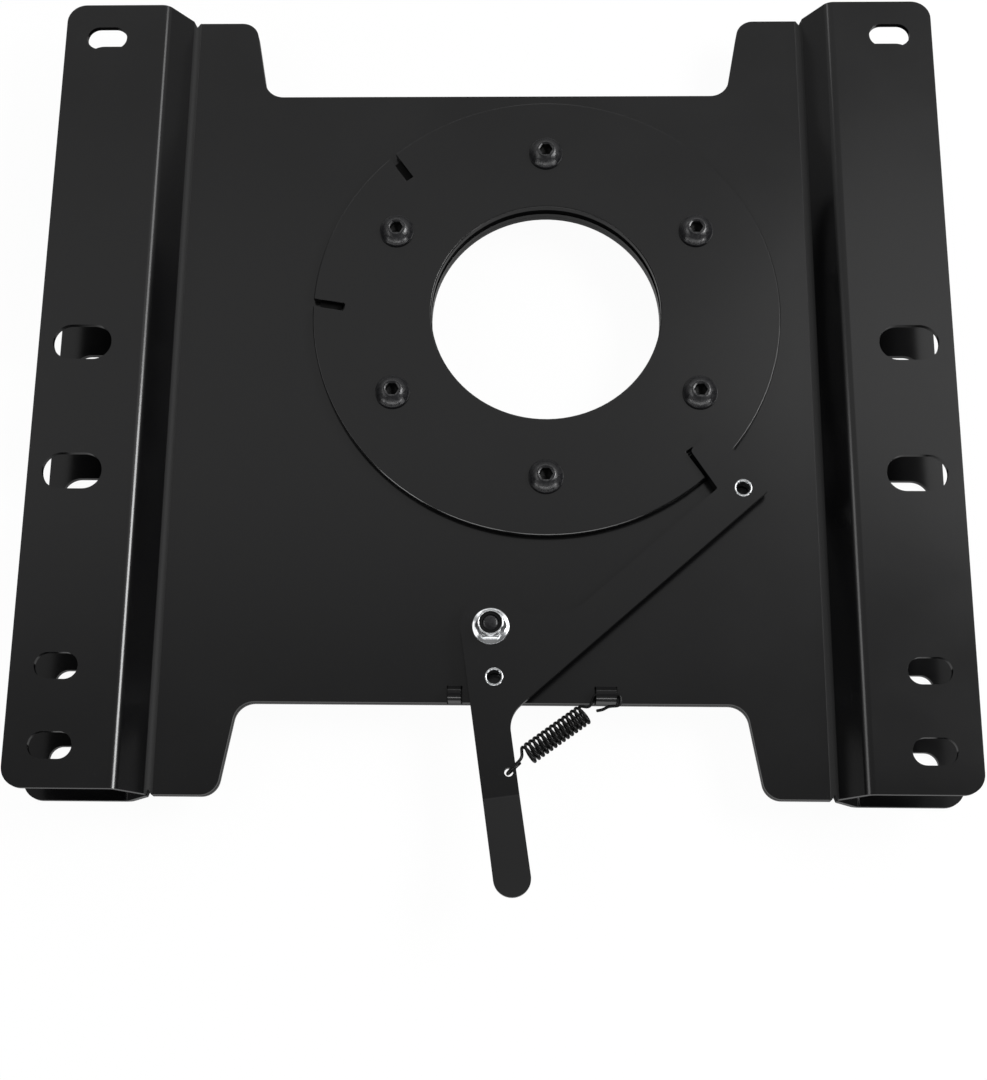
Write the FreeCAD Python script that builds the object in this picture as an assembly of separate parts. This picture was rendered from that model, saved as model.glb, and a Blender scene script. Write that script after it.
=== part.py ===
import FreeCAD, Part
import math
import os

# Swivel seat base. Two pressed steel plates are joined by a ring of screws. The upper one turns
# between a locking disc above it and the lower plate below it, and a sprung lever locks the turn.
# Millimetres and degrees. The origin is the centre of the lower bolt pattern, on the underside of
# the lower wings. X points to the right, Y to the back and Z up.

Vector = FreeCAD.Vector

# Pressed plates
PLATE_THICKNESS = 3.0
PLATE_WIDTH = 456.0
PLATE_DEPTH = 417.0
MIDDLE_DEPTH = 327.0
WING_RISE = 18.5
WING_WIDTH = 53.4
WEB_LEAN = 12.6
END_TAB_WIDTH = 32.0
NOTCH_SLANT = 8.0
FOLD_RADIUS = 3.0
WING_CORNER_RADIUS = 10.0
NOTCH_MOUTH_RADIUS = 9.0
NOTCH_FLOOR_RADIUS = 10.0
RELIEF_WIDTH = 3.0
RELIEF_DEPTH = 2.5

# Slots for the seat bolts above and the floor bolts below, the same in both plates
SLOT_FROM_EDGE = 22.0
SMALL_SLOT_ROWS = (188.5, -150.5, -188.5)
SMALL_SLOT_LENGTH = 21.0
SMALL_SLOT_WIDTH = 13.0
LARGE_SLOT_ROWS = (15.0, -53.0)
LARGE_SLOT_LENGTH = 29.5
LARGE_SLOT_WIDTH = 18.5

# Swivel: disc, hub spacer, backing ring and glide rings
SWIVEL_FROM_RIGHT_FOLD = 135.5
SWIVEL_Y = 38.0
CABLE_HOLE_RADIUS = 58.5
DISC_RADIUS = 119.0
DISC_THICKNESS = 4.0
SPACER_INNER_RADIUS = 60.0
SPACER_OUTER_RADIUS = 104.0
BACKING_THICKNESS = 4.0
BACKING_OUTER_RADIUS = 108.0
RUNNING_CLEARANCE = 0.4
FACE_CLEARANCE = 0.1
LOWER_GLIDE_THICKNESS = 0.9
UPPER_GLIDE_THICKNESS = 0.5
GLIDE_WIDTH = 11.0
DISC_EDGE = 0.5

# Screws and flange nuts of the disc
SCREW_COUNT = 6
SCREW_CIRCLE_RADIUS = 89.0
SCREW_RADIUS = 5.0
SCREW_HOLE_RADIUS = 5.3
SCREW_DOME = ((8.75, 1.0), (7.6, 3.8), (5.0, 5.5))
SCREW_KEY_ACROSS = 6.0
SCREW_KEY_DEPTH = 3.1
SCREW_END = 1.5
SCREW_TIP = 0.8
DISC_NUT_ACROSS = 15.0
DISC_NUT_HEIGHT = 10.0
DISC_NUT_FLANGE_RADIUS = 10.5
DISC_NUT_FLANGE_HEIGHT = 2.0

# Lever
LEVER_THICKNESS = 3.5
LEVER_OVER_DISC = 0.4
PIVOT_X = 0.0
PIVOT_FROM_FRONT = 35.5
BOSS_RADIUS = 14.6
ARM_START = (17.3, -35.6)
ARM_WIDTH = 17.2
HANDLE_ANGLE = 8.0
HANDLE_WIDTH = 17.4
HANDLE_BEND_AT = 82.0
HANDLE_BEND_ANGLE = 15.0
HANDLE_BEND_RADIUS = 6.0
HANDLE_TIP_LENGTH = 47.0
HEEL_RADIUS = 14.0
SADDLE_RADIUS = 24.0
BOSS_CROWN_SPAN = 11.0
BOSS_CROWN_RADIUS = 6.0
SADDLE_HEIGHT = 6.5
SADDLE_START = 15.0
SADDLE_START_RADIUS = 8.0
FINGER_LEFT_FROM_AXIS = (71.2, -76.4)
FINGER_TOP_FROM_AXIS = (80.3, -66.7)
FINGER_RIGHT_FROM_AXIS = (91.9, -75.1)
FINGER_HEEL_FROM_AXIS = (109.5, -96.3)
FINGER_ROOT_FROM_AXIS = (84.2, -96.2)
FINGER_SHOULDER_RADIUS = 5.0
FINGER_CORNER_RADIUS = 2.0
TOOTH_LENGTH = 8.6
TOOTH_THICKNESS = 3.0
TOOTH_RIM_CLEARANCE = 0.5
TOOTH_FLOOR_CLEARANCE = 0.6
TOOTH_SIDE_CLEARANCE = 0.65
LOCK_TRAVEL = 4.0
LOCK_TURNS = (0.0, 180.0, -134.7)
NOTCH_DEPTH = 12.4
NOTCH_END_RADIUS = 0.6

# Pivot of the lever
BUSH_RADIUS = 6.0
BUSH_FLANGE_RADIUS = 10.5
BUSH_CLEARANCE = 0.15
STUD_RADIUS = 4.0
STUD_HEAD_RADIUS = 7.0
STUD_HEAD_THICKNESS = 1.6
STUD_END = 0.8
STUD_CHAMFER = 0.8
FIT_CLEARANCE = 0.1
PIVOT_NUT_ACROSS = 13.0
PIVOT_NUT_FLANGE_RADIUS = 8.95
PIVOT_NUT_FLANGE_HEIGHT = 1.6
PIVOT_NUT_HEX_HEIGHT = 6.2
PIVOT_NUT_HEIGHT = 9.2
PIVOT_NUT_COLLAR_RADIUS = 6.1
PIVOT_NUT_COLLAR_EASE = 1.0

# Glide pads under the lever and the tubular rivets that hold them
FINGER_RIVET_FROM_AXIS = (96.5, -95.8)
HANDLE_RIVET_FROM_PIVOT = (1.8, -24.6)
RIVET_BARREL_RADIUS = 3.8
RIVET_BORE_RADIUS = 3.0
RIVET_ROLL_RADIUS = 4.5
RIVET_ROLL_HEIGHT = 0.9
RIVET_ROLL_EASE = 0.5
PAD_RADIUS = 6.5
PAD_CHAMFER = 0.6
PAD_RECESS_RADIUS = 5.4
PAD_RECESS_DEPTH = 1.8

# Tabs raised from the front edge of the upper plate: a stop for the lever and the spring anchor
STOP_TAB_X = -17.2
STOP_TAB_WIDTH = 6.2
ANCHOR_TAB_X = 55.2
ANCHOR_TAB_WIDTH = 9.6
TAB_LENGTH = 8.2
TAB_RISE = 7.5
TAB_THICKNESS = 2.4
TAB_SLIT = 0.6
TAB_BEND = 0.8
TAB_CREST = 0.62

# Return spring
SPRING_HOLE_FROM_PIVOT = (9.0, -70.0)
SPRING_HOLE_RADIUS = 2.1
SPRING_WIRE_RADIUS = 0.75
SPRING_COIL_RADIUS = 4.6
SPRING_COILS = 14
SPRING_SIDES = 4
SPRING_STEPS = 10
SPRING_START_FROM_PIVOT = (17.7, -61.6)
SPRING_END_FROM_PIVOT = (45.2, -40.7)
SPRING_EYE_HEIGHT = 1.9
SPRING_LIFT = 0.3
SPRING_HOOK_SHIFT = 0.7
SPRING_HOOK_RETURN = 7.5
SPRING_HOOK_FOOT = 3.0

# The anchor hook's route, from the tab's left corner on the plate's front edge
ANCHOR_HOOK_ROUTE = ((-3.0, -2.4), (-0.6, 3.9), (11.8, 3.9), (11.0, -2.6), (0.4, -4.6))

# Places that follow
FOLD_TOP_X = PLATE_WIDTH / 2 - WING_WIDTH
FOLD_FOOT_X = FOLD_TOP_X - WEB_LEAN
NOTCH_MOUTH_X = FOLD_FOOT_X - END_TAB_WIDTH
NOTCH_FLOOR_X = NOTCH_MOUTH_X - NOTCH_SLANT
SLOT_X = PLATE_WIDTH / 2 - SLOT_FROM_EDGE
SWIVEL_X = FOLD_FOOT_X - SWIVEL_FROM_RIGHT_FOLD
PIVOT_Y = -MIDDLE_DEPTH / 2 + PIVOT_FROM_FRONT

# Heights that follow
LOWER_MIDDLE_UNDER = WING_RISE
LOWER_MIDDLE_TOP = LOWER_MIDDLE_UNDER + PLATE_THICKNESS
UPPER_MIDDLE_UNDER = LOWER_MIDDLE_TOP + LOWER_GLIDE_THICKNESS + FACE_CLEARANCE
UPPER_MIDDLE_TOP = UPPER_MIDDLE_UNDER + PLATE_THICKNESS
DISC_UNDER = UPPER_MIDDLE_TOP + UPPER_GLIDE_THICKNESS + FACE_CLEARANCE
DISC_TOP = DISC_UNDER + DISC_THICKNESS
BACKING_UNDER = LOWER_MIDDLE_UNDER - BACKING_THICKNESS
LEVER_UNDER = DISC_TOP + LEVER_OVER_DISC
LEVER_TOP = LEVER_UNDER + LEVER_THICKNESS
OPENING_RADIUS = SPACER_OUTER_RADIUS + RUNNING_CLEARANCE
UP = Vector(0, 0, 1)


def from_axis(offset):
    """A plan point given from the swivel axis."""
    return (SWIVEL_X + offset[0], SWIVEL_Y + offset[1])


def from_pivot(offset):
    """A plan point given from the lever's pivot."""
    return (PIVOT_X + offset[0], PIVOT_Y + offset[1])


FINGER_LEFT = from_axis(FINGER_LEFT_FROM_AXIS)
FINGER_TOP = from_axis(FINGER_TOP_FROM_AXIS)
FINGER_RIGHT = from_axis(FINGER_RIGHT_FROM_AXIS)
FINGER_HEEL = from_axis(FINGER_HEEL_FROM_AXIS)
FINGER_ROOT = from_axis(FINGER_ROOT_FROM_AXIS)
RIVET_PLACES = (from_axis(FINGER_RIVET_FROM_AXIS), from_pivot(HANDLE_RIVET_FROM_PIVOT))
SPRING_HOLE = from_pivot(SPRING_HOLE_FROM_PIVOT)
SPRING_START = from_pivot(SPRING_START_FROM_PIVOT)
SPRING_END = from_pivot(SPRING_END_FROM_PIVOT)


def rounded_face(corners, place):
    """A flat face from (u, v, radius) corners, each rounded by its radius. place maps u, v to a point."""
    starts = []
    count = len(corners)
    for i in range(count):
        before = corners[i - 1]
        u, v, radius = corners[i]
        after = corners[(i + 1) % count]
        to_before = Vector(before[0] - u, before[1] - v, 0).normalize()
        to_after = Vector(after[0] - u, after[1] - v, 0).normalize()
        here = Vector(u, v, 0)
        half = to_before.getAngle(to_after) / 2
        if radius <= 0 or abs(half - math.pi / 2) < 1e-6:
            starts.append((here, None, here))
            continue
        reach = radius / math.tan(half)
        middle = (to_before + to_after).normalize()
        centre = here + middle * (radius / math.sin(half))
        starts.append((here + to_before * reach, centre - middle * radius, here + to_after * reach))
    edges = []
    for i in range(count):
        first, middle, last = starts[i]
        following = starts[(i + 1) % count][0]
        if middle is not None:
            arc = Part.Arc(place(first.x, first.y), place(middle.x, middle.y), place(last.x, last.y))
            edges.append(arc.toShape())
        if (following - last).Length > 1e-6:
            edges.append(Part.LineSegment(place(last.x, last.y), place(following.x, following.y)).toShape())
    return Part.Face(Part.Wire(edges))


def plan_prism(corners, low, high):
    """A prism on a rounded plan outline between two heights."""
    face = rounded_face(corners, lambda u, v: Vector(u, v, low))
    return face.extrude(Vector(0, 0, high - low))


def disc_solid(x, y, radius, low, high):
    return Part.makeCylinder(radius, high - low, Vector(x, y, low))


def ring_solid(x, y, inner, outer, low, high):
    return disc_solid(x, y, outer, low, high).cut(disc_solid(x, y, inner, low - 1, high + 1))


def hexagon_prism(x, y, across, low, high):
    corner = across / math.sqrt(3)
    points = []
    for i in range(6):
        angle = math.radians(60 * i)
        points.append((x + corner * math.cos(angle), y + corner * math.sin(angle), 0))
    return plan_prism(points, low, high)


def revolved(x, y, profile):
    """A solid turned about the upright line at x, y from (radius, height) points."""
    points = [Vector(x + r, y, z) for r, z in profile]
    face = Part.Face(Part.makePolygon(points + [points[0]]))
    return face.revolve(Vector(x, y, 0), UP, 360)


def screw_places():
    places = []
    for i in range(SCREW_COUNT):
        angle = math.radians(90 - 360 * i / SCREW_COUNT)
        x = SWIVEL_X + SCREW_CIRCLE_RADIUS * math.cos(angle)
        y = SWIVEL_Y + SCREW_CIRCLE_RADIUS * math.sin(angle)
        places.append((x, y))
    return places


def bent_sheet_section(top, radius, thickness):
    """Corners of a bent sheet whose upper side follows the top points. Bends keep the sheet's thickness."""
    upper = []
    lower = []
    for i, (u, v) in enumerate(top):
        if i in (0, len(top) - 1):
            upper.append((u, v, 0))
            lower.append((u, v - thickness, 0))
            continue
        before = math.atan2(v - top[i - 1][1], u - top[i - 1][0])
        after = math.atan2(top[i + 1][1] - v, top[i + 1][0] - u)
        turn = after - before
        reach = thickness / math.cos(turn / 2)
        normal = (before + after) / 2 - math.pi / 2
        inside, outside = radius, radius + thickness
        upper.append((u, v, inside if turn > 0 else outside))
        under = (u + reach * math.cos(normal), v + reach * math.sin(normal))
        lower.append((*under, outside if turn > 0 else inside))
    return upper + lower[::-1]


def plate_plan():
    """Plan outline of a pressed plate: rounded wings, fold reliefs and a notch front and back."""
    half = PLATE_DEPTH / 2
    quarter = [
        (PLATE_WIDTH / 2, half, WING_CORNER_RADIUS),
        (FOLD_FOOT_X + RELIEF_WIDTH / 2, half, 0),
        (FOLD_FOOT_X, half - RELIEF_DEPTH, 0),
        (FOLD_FOOT_X - RELIEF_WIDTH / 2, half, 0),
        (NOTCH_MOUTH_X, half, NOTCH_MOUTH_RADIUS),
        (NOTCH_FLOOR_X, MIDDLE_DEPTH / 2, NOTCH_FLOOR_RADIUS),
    ]
    back = quarter + [(-u, v, r) for u, v, r in reversed(quarter)]
    return back + [(u, -v, r) for u, v, r in reversed(back)]


def slot_cutters(low, high):
    cutters = []
    sizes = [(y, SMALL_SLOT_LENGTH, SMALL_SLOT_WIDTH) for y in SMALL_SLOT_ROWS]
    sizes += [(y, LARGE_SLOT_LENGTH, LARGE_SLOT_WIDTH) for y in LARGE_SLOT_ROWS]
    for y, length, width in sizes:
        for side in (-1, 1):
            ends = (side * SLOT_X - (length - width) / 2, side * SLOT_X + (length - width) / 2)
            box = Part.makeBox(length - width, width, high - low, Vector(ends[0], y - width / 2, low))
            rounds = [disc_solid(x, y, width / 2, low, high) for x in ends]
            cutters.append(box.multiFuse(rounds).removeSplitter())
    return cutters


def pressed_plate():
    """The plate with its middle's upper face at height 0, wings up, slots cut, and no hub opening."""
    top = [
        (-PLATE_WIDTH / 2, WING_RISE),
        (-FOLD_TOP_X, WING_RISE),
        (-FOLD_FOOT_X, 0),
        (FOLD_FOOT_X, 0),
        (FOLD_TOP_X, WING_RISE),
        (PLATE_WIDTH / 2, WING_RISE),
    ]
    start = -PLATE_DEPTH / 2
    section = rounded_face(
        bent_sheet_section(top, FOLD_RADIUS, PLATE_THICKNESS), lambda u, v: Vector(u, start, v)
    )
    sheet = section.extrude(Vector(0, PLATE_DEPTH, 0))
    low, high = -PLATE_THICKNESS - 1, WING_RISE + 1
    sheet = sheet.common(plan_prism(plate_plan(), low, high))
    return sheet.cut(Part.makeCompound(slot_cutters(low, high)))


def front_tab(x, width):
    """A strip lanced from the front edge and pressed up into an arch, with its tip level with the plate."""
    front = -MIDDLE_DEPTH / 2
    back = front + TAB_LENGTH
    crest = front + TAB_LENGTH * TAB_CREST
    roof = TAB_RISE - TAB_THICKNESS
    corners = [
        (front, -PLATE_THICKNESS, 0),
        (front, TAB_RISE, TAB_THICKNESS + TAB_BEND),
        (crest, TAB_RISE, TAB_BEND),
        (back, 0, 0),
        (back, -PLATE_THICKNESS, 0),
        (crest - TAB_BEND, roof, 0),
        (front + TAB_THICKNESS, roof, TAB_BEND),
        (front + TAB_THICKNESS, -PLATE_THICKNESS, 0),
    ]
    face = rounded_face(corners, lambda u, v: Vector(x - width / 2, u, v))
    return face.extrude(Vector(width, 0, 0))


def upper_plate():
    plate = pressed_plate()
    plate = plate.cut(disc_solid(SWIVEL_X, SWIVEL_Y, OPENING_RADIUS, -PLATE_THICKNESS - 1, 1))
    front = -MIDDLE_DEPTH / 2
    for x, width in ((STOP_TAB_X, STOP_TAB_WIDTH), (ANCHOR_TAB_X, ANCHOR_TAB_WIDTH)):
        gap = width + 2 * TAB_SLIT
        window = Part.makeBox(gap, TAB_LENGTH + 1, PLATE_THICKNESS + 2,
                              Vector(x - gap / 2, front - 1, -PLATE_THICKNESS - 1))
        plate = plate.cut(window).fuse(front_tab(x, width))
    seat = disc_solid(PIVOT_X, PIVOT_Y, STUD_RADIUS + FIT_CLEARANCE, -PLATE_THICKNESS - 1, 1)
    recess = disc_solid(PIVOT_X, PIVOT_Y, STUD_HEAD_RADIUS + FIT_CLEARANCE,
                        -PLATE_THICKNESS - 1, -PLATE_THICKNESS + STUD_HEAD_THICKNESS)
    plate = plate.cut(seat).cut(recess).removeSplitter()
    plate.translate(Vector(0, 0, UPPER_MIDDLE_TOP))
    return plate


def screw_hole_cutters(low, high):
    return [disc_solid(x, y, SCREW_HOLE_RADIUS, low, high) for x, y in screw_places()]


def lower_plate():
    plate = pressed_plate().mirror(Vector(0, 0, 0), UP)
    plate.translate(Vector(0, 0, LOWER_MIDDLE_UNDER))
    low, high = LOWER_MIDDLE_UNDER - 1, LOWER_MIDDLE_TOP + 1
    hole = disc_solid(SWIVEL_X, SWIVEL_Y, CABLE_HOLE_RADIUS, low, high)
    return plate.cut(hole).cut(Part.makeCompound(screw_hole_cutters(low, high)))


def hub_ring(inner, outer, low, high):
    ring = ring_solid(SWIVEL_X, SWIVEL_Y, inner, outer, low, high)
    return ring.cut(Part.makeCompound(screw_hole_cutters(low - 1, high + 1)))


def along(start, angle, distance):
    """The point a distance from start in a direction, both in the plan."""
    turn = math.radians(angle)
    return (start[0] + distance * math.cos(turn), start[1] + distance * math.sin(turn))


def crossing(a, angle_a, b, angle_b):
    """Where the line through a at angle_a crosses the line through b at angle_b, in the plan."""
    ax, ay = math.cos(math.radians(angle_a)), math.sin(math.radians(angle_a))
    bx, by = math.cos(math.radians(angle_b)), math.sin(math.radians(angle_b))
    reach = ((b[0] - a[0]) * by - (b[1] - a[1]) * bx) / (ax * by - ay * bx)
    return (a[0] + reach * ax, a[1] + reach * ay)


def tooth_frame():
    """The tooth's inner end on the finger's edge, and the way in which the lever carries it."""
    edge = math.degrees(math.atan2(FINGER_LEFT[1] - FINGER_ROOT[1], FINGER_LEFT[0] - FINGER_ROOT[0]))
    reach = 0.0
    point = FINGER_ROOT
    limit = DISC_RADIUS + TOOTH_RIM_CLEARANCE
    while math.hypot(point[0] - SWIVEL_X, point[1] - SWIVEL_Y) > limit:
        reach += 0.05
        point = along(FINGER_ROOT, edge, reach)
    return point, edge


def tooth_prism(grow, inward, low, high):
    """The tooth's plan, grown on each side and lengthened inwards, as a prism."""
    point, edge = tooth_frame()
    inner = along(point, edge, inward)
    outer = along(point, edge, -TOOTH_LENGTH)
    corners = []
    for base, side in ((inner, grow), (inner, -TOOTH_THICKNESS - grow),
                       (outer, -TOOTH_THICKNESS - grow), (outer, grow)):
        x, y = along(base, edge + 90, side)
        corners.append((x, y, NOTCH_END_RADIUS if inward and base is inner else 0))
    return plan_prism(corners, low, high)


def lock_disc():
    low, high = DISC_UNDER, DISC_TOP
    inner, outer, edge = CABLE_HOLE_RADIUS, DISC_RADIUS, DISC_EDGE
    profile = [(inner, low), (outer - edge, low), (outer, low + edge), (outer, high - edge),
               (outer - edge, high), (inner + edge, high), (inner, high - edge)]
    disc = revolved(SWIVEL_X, SWIVEL_Y, profile)
    disc = disc.cut(Part.makeCompound(screw_hole_cutters(low - 1, high + 1)))
    middle = (SWIVEL_X, SWIVEL_Y, 0)
    for turn in LOCK_TURNS:
        notch = tooth_prism(TOOTH_SIDE_CLEARANCE, NOTCH_DEPTH, low - 1, high + 1)
        # the lever swings on an arc, so the notch is cut where the tooth is at half its travel
        notch.rotate(Vector(PIVOT_X, PIVOT_Y, 0), UP, LOCK_TRAVEL / 2)
        notch.rotate(Vector(*middle), UP, turn)
        disc = disc.cut(notch)
    return disc


def lever_plan():
    """Plan outline of the lever: finger, arm, round boss at the pivot and handle."""
    pivot = (PIVOT_X, PIVOT_Y)
    handle = 270 + HANDLE_ANGLE
    left = along(pivot, handle - 90, BOSS_RADIUS)
    right = along(left, handle + 90, HANDLE_WIDTH)
    tip = HANDLE_BEND_AT + HANDLE_TIP_LENGTH
    tip_left, tip_right = along(left, handle, tip), along(right, handle, tip)
    start = from_pivot(ARM_START)
    arm = math.degrees(math.atan2(FINGER_HEEL[1] - start[1], FINGER_HEEL[0] - start[0]))
    heel = crossing(start, arm, right, handle)
    upper = along(start, arm + 90, ARM_WIDTH)
    root = crossing(upper, arm, FINGER_ROOT, tooth_frame()[1])
    dip = from_pivot((SADDLE_START, SADDLE_HEIGHT))
    saddle = crossing(upper, arm, dip, 0)
    crown = along(pivot, 90, BOSS_RADIUS)
    crown_left = crossing(crown, 0, left, handle)
    corner = FINGER_CORNER_RADIUS
    # a shade under half the width, so that the two roundings of the tip leave a short flat between them
    end = HANDLE_WIDTH / 2 - 0.01
    return [
        (FINGER_TOP[0], FINGER_TOP[1], corner),
        (FINGER_LEFT[0], FINGER_LEFT[1], corner),
        (root[0], root[1], corner / 2),
        (saddle[0], saddle[1], SADDLE_RADIUS),
        (dip[0], dip[1], SADDLE_START_RADIUS),
        (PIVOT_X + BOSS_CROWN_SPAN, crown[1], BOSS_CROWN_RADIUS),
        (crown_left[0], crown_left[1], BOSS_RADIUS),
        (tip_left[0], tip_left[1], end),
        (tip_right[0], tip_right[1], end),
        (heel[0], heel[1], HEEL_RADIUS),
        (FINGER_HEEL[0], FINGER_HEEL[1], corner),
        (FINGER_RIGHT[0], FINGER_RIGHT[1], FINGER_SHOULDER_RADIUS),
    ]


def lock_lever():
    high = LEVER_TOP + HANDLE_TIP_LENGTH
    plan = plan_prism(lever_plan(), LEVER_UNDER - 1, high)
    rise = math.tan(math.radians(HANDLE_BEND_ANGLE))
    far = HANDLE_TIP_LENGTH + 10
    top = [(-far, LEVER_TOP + far * rise), (0, LEVER_TOP), (2 * PLATE_WIDTH, LEVER_TOP)]
    section = bent_sheet_section(top, HANDLE_BEND_RADIUS, LEVER_THICKNESS)
    sheet = rounded_face(section, lambda u, v: Vector(-PLATE_WIDTH, u, v))
    sheet = sheet.extrude(Vector(2 * PLATE_WIDTH, 0, 0))
    bend = along((PIVOT_X, PIVOT_Y), 270 + HANDLE_ANGLE, HANDLE_BEND_AT)
    sheet.rotate(Vector(0, 0, 0), UP, HANDLE_ANGLE)
    sheet.translate(Vector(bend[0], bend[1], 0))
    lever = plan.common(sheet)
    tooth = tooth_prism(0, 0, UPPER_MIDDLE_TOP + TOOTH_FLOOR_CLEARANCE, LEVER_UNDER + LEVER_THICKNESS / 2)
    lever = lever.fuse(tooth)
    low, high = LEVER_UNDER - 1, LEVER_TOP + 1
    lever = lever.cut(disc_solid(PIVOT_X, PIVOT_Y, BUSH_RADIUS + BUSH_CLEARANCE, low, high))
    lever = lever.cut(disc_solid(SPRING_HOLE[0], SPRING_HOLE[1], SPRING_HOLE_RADIUS, low, high))
    for x, y in RIVET_PLACES:
        lever = lever.cut(disc_solid(x, y, RIVET_BARREL_RADIUS, low, high))
    return lever.removeSplitter()


def button_screw(x, y):
    """Button-head socket screw that reaches through the stack and just past its nut."""
    head = [(radius, DISC_TOP + height) for radius, height in SCREW_DOME]
    top = head[-1][1]
    end = BACKING_UNDER - DISC_NUT_HEIGHT - SCREW_END
    profile = [(0, top)] + head[::-1]
    profile += [(SCREW_DOME[0][0], DISC_TOP), (SCREW_RADIUS, DISC_TOP), (SCREW_RADIUS, end + SCREW_TIP)]
    profile += [(SCREW_RADIUS - SCREW_TIP, end), (0, end)]
    screw = revolved(x, y, profile)
    return screw.cut(hexagon_prism(x, y, SCREW_KEY_ACROSS, top - SCREW_KEY_DEPTH, top + 1))


def disc_nut(x, y):
    """Flange nut under the backing ring."""
    top = BACKING_UNDER
    under = top - DISC_NUT_HEIGHT
    nut = hexagon_prism(x, y, DISC_NUT_ACROSS, under, top - DISC_NUT_FLANGE_HEIGHT / 2)
    nut = nut.fuse(disc_solid(x, y, DISC_NUT_FLANGE_RADIUS, top - DISC_NUT_FLANGE_HEIGHT, top))
    return nut.cut(disc_solid(x, y, SCREW_RADIUS, under - 1, top + 1))


def pivot_stud():
    """Stud with a flush head in the underside of the upper plate, which carries the lever."""
    low = UPPER_MIDDLE_UNDER
    shank = low + STUD_HEAD_THICKNESS
    end = LEVER_TOP + FACE_CLEARANCE + PIVOT_NUT_HEIGHT - STUD_END
    profile = [(0, low), (STUD_HEAD_RADIUS, low), (STUD_HEAD_RADIUS, shank), (STUD_RADIUS, shank),
               (STUD_RADIUS, end - STUD_CHAMFER), (STUD_RADIUS - STUD_CHAMFER, end), (0, end)]
    return revolved(PIVOT_X, PIVOT_Y, profile)


def pivot_bush():
    """Flanged bush on the stud: it lifts the lever to its height and is what the lever turns on."""
    low = UPPER_MIDDLE_TOP
    seat = LEVER_UNDER - FACE_CLEARANCE
    top = LEVER_TOP + FACE_CLEARANCE
    bore = STUD_RADIUS + FIT_CLEARANCE
    profile = [(bore, low), (BUSH_FLANGE_RADIUS, low), (BUSH_FLANGE_RADIUS, seat), (BUSH_RADIUS, seat),
               (BUSH_RADIUS, top), (bore, top)]
    return revolved(PIVOT_X, PIVOT_Y, profile)


def pivot_nut():
    """Flange lock nut with a round collar at its top."""
    low = LEVER_TOP + FACE_CLEARANCE
    hexagon = low + PIVOT_NUT_HEX_HEIGHT
    top = low + PIVOT_NUT_HEIGHT
    flange, collar, ease = PIVOT_NUT_FLANGE_RADIUS, PIVOT_NUT_COLLAR_RADIUS, PIVOT_NUT_COLLAR_EASE
    nut = hexagon_prism(PIVOT_X, PIVOT_Y, PIVOT_NUT_ACROSS, low, hexagon)
    profile = [(0, low), (collar, low), (collar, top - ease), (collar - ease, top), (0, top)]
    crown = revolved(PIVOT_X, PIVOT_Y, profile)
    nut = nut.fuse(disc_solid(PIVOT_X, PIVOT_Y, flange, low, low + PIVOT_NUT_FLANGE_HEIGHT)).fuse(crown)
    return nut.cut(disc_solid(PIVOT_X, PIVOT_Y, STUD_RADIUS, low - 1, top + 1))


def lever_pad(x, y):
    """Glide pad under the lever, recessed below for the rivet's lower roll."""
    low = UPPER_MIDDLE_TOP + FACE_CLEARANCE
    roof = low + PAD_RECESS_DEPTH
    profile = [(PAD_RECESS_RADIUS, low), (PAD_RADIUS - PAD_CHAMFER, low), (PAD_RADIUS, low + PAD_CHAMFER),
               (PAD_RADIUS, LEVER_UNDER), (RIVET_BARREL_RADIUS, LEVER_UNDER), (RIVET_BARREL_RADIUS, roof),
               (PAD_RECESS_RADIUS, roof)]
    return revolved(x, y, profile)


def lever_rivet(x, y):
    """Tubular rivet, rolled over the lever and over the roof of the pad's recess."""
    roof = UPPER_MIDDLE_TOP + FACE_CLEARANCE + PAD_RECESS_DEPTH
    bore, barrel, roll, ease = RIVET_BORE_RADIUS, RIVET_BARREL_RADIUS, RIVET_ROLL_RADIUS, RIVET_ROLL_EASE
    crest = LEVER_TOP + RIVET_ROLL_HEIGHT
    foot = roof - RIVET_ROLL_HEIGHT
    profile = [(bore, foot), (roll, foot), (roll, roof), (barrel, roof),
               (barrel, LEVER_TOP), (roll, LEVER_TOP), (roll - ease, crest), (bore, crest)]
    return revolved(x, y, profile)


def faceted_wire(points, radius):
    """A thin wire of flat facets along a run of points, which keeps its own turn from point to point."""
    tangents = []
    for i, point in enumerate(points):
        before = (point - points[i - 1]).normalize() if i else Vector()
        after = (points[i + 1] - point).normalize() if i + 1 < len(points) else Vector()
        tangents.append((before + after).normalize())
    across = tangents[0].cross(UP).normalize()
    rings = []
    for i, point in enumerate(points):
        if i:
            across = FreeCAD.Rotation(tangents[i - 1], tangents[i]).multVec(across)
        ring = []
        for side in range(SPRING_SIDES):
            turn = FreeCAD.Rotation(tangents[i], 360.0 * side / SPRING_SIDES)
            ring.append(point + turn.multVec(across) * radius)
        rings.append(ring)
    corners = []
    for near, far in zip(rings, rings[1:]):
        for side in range(SPRING_SIDES):
            following = (side + 1) % SPRING_SIDES
            corners.append((near[side], near[following], far[following]))
            corners.append((near[side], far[following], far[side]))
    corners.append(tuple(rings[0]))
    corners.append(tuple(rings[-1]))
    faces = [Part.Face(Part.makePolygon(list(ring) + [ring[0]])) for ring in corners]
    shell = Part.makeShell(faces)
    shell.sewShape()
    return Part.makeSolid(shell)


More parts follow.
